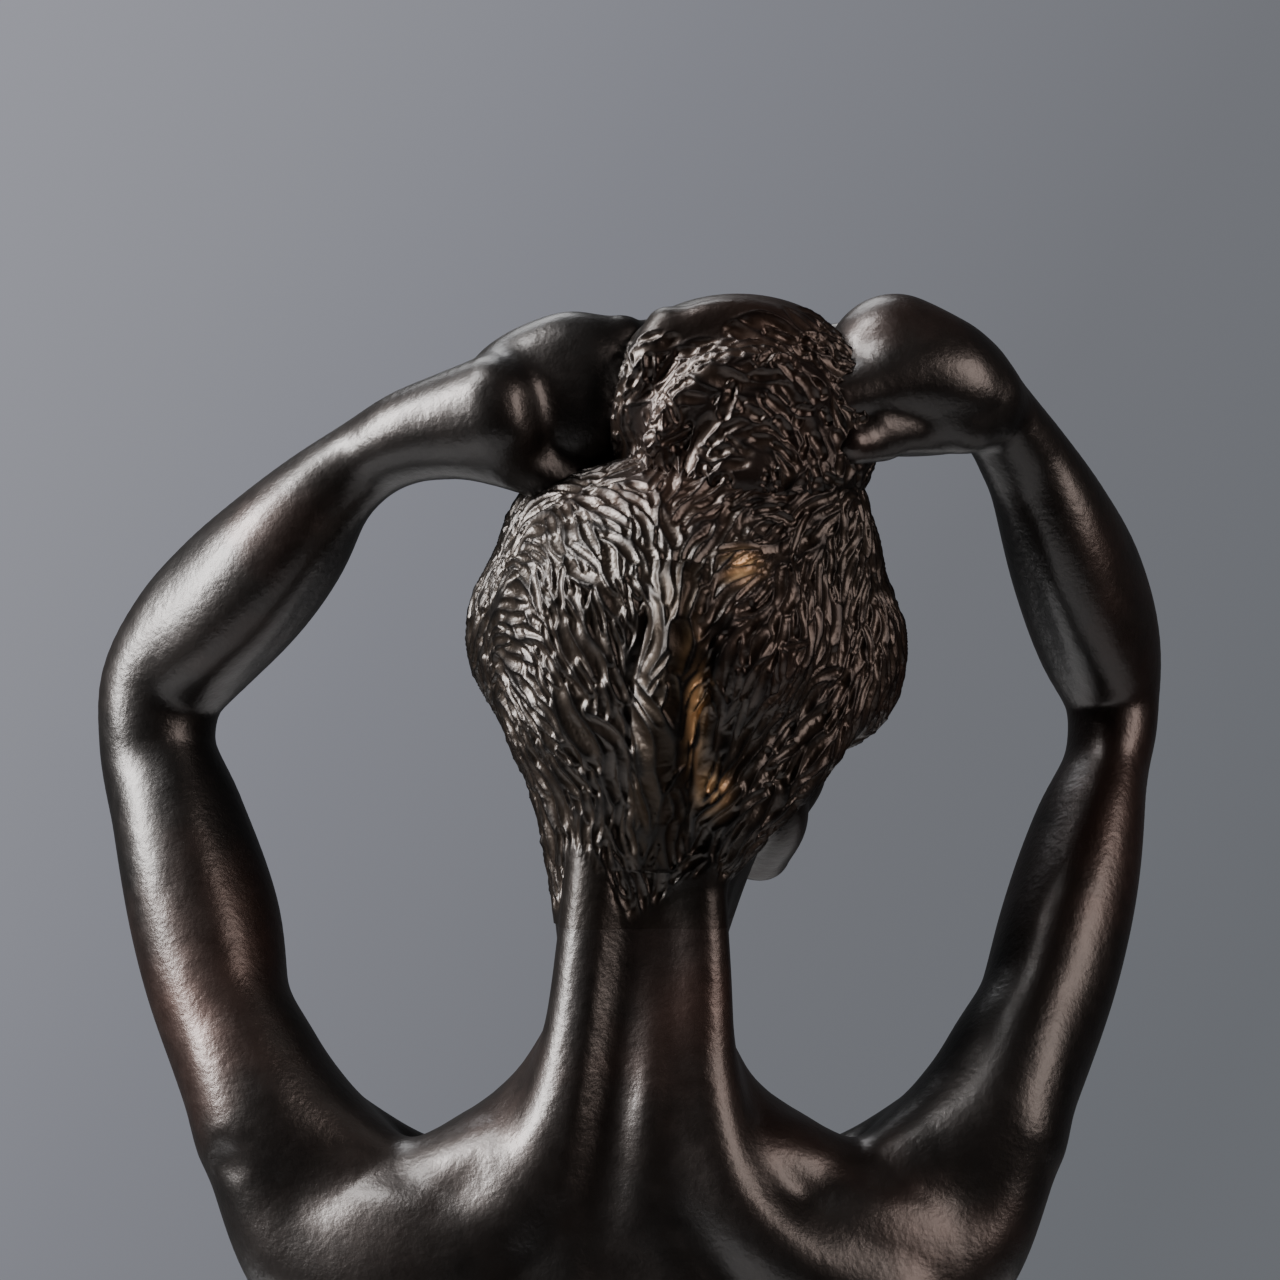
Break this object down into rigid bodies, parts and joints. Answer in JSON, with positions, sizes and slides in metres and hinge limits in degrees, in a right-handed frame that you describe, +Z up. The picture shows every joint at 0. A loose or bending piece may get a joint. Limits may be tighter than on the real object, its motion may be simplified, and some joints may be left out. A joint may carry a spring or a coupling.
{
  "type": "bronze statuette",
  "caption": "Standing draped female figure with both hands raised to her hair, cast in dark patinated metal and pinned together on a stone plinth.",
  "frame": {"origin": "centre of the underside of the felt pad, on the surface the statuette stands on", "axes": "+Z up, the figure faces -Y and its left side is +X"},
  "size_m": [0.1442, 0.124, 0.4235],
  "materials": {
    "patina": "glossy dark brown patina over cast bronze",
    "stone": "honed black stone",
    "felt": "green felt",
    "steel": "plain steel fasteners"
  },
  "bodies": {
    "root": {"felt_pad": "felt", "stone_plinth": "stone", "terrace_casting": "patina", "mounting_studs": "steel", "stud_washers": "steel", "stud_nuts": "steel", "terrace_screws": "steel", "left_foot_casting": "patina", "right_foot_casting": "patina", "drapery_casting": "patina", "core_plugs": "patina", "waist_pins": "patina", "torso_casting": "patina", "left_shoulder_pin": "patina", "right_shoulder_pin": "patina", "neck_pin": "patina", "head_casting": "patina", "hair_knot_casting": "patina", "knot_dowel": "patina", "left_arm_casting": "patina", "right_arm_casting": "patina", "left_hand_pin": "patina", "right_hand_pin": "patina"}
  },
  "joints": []
}
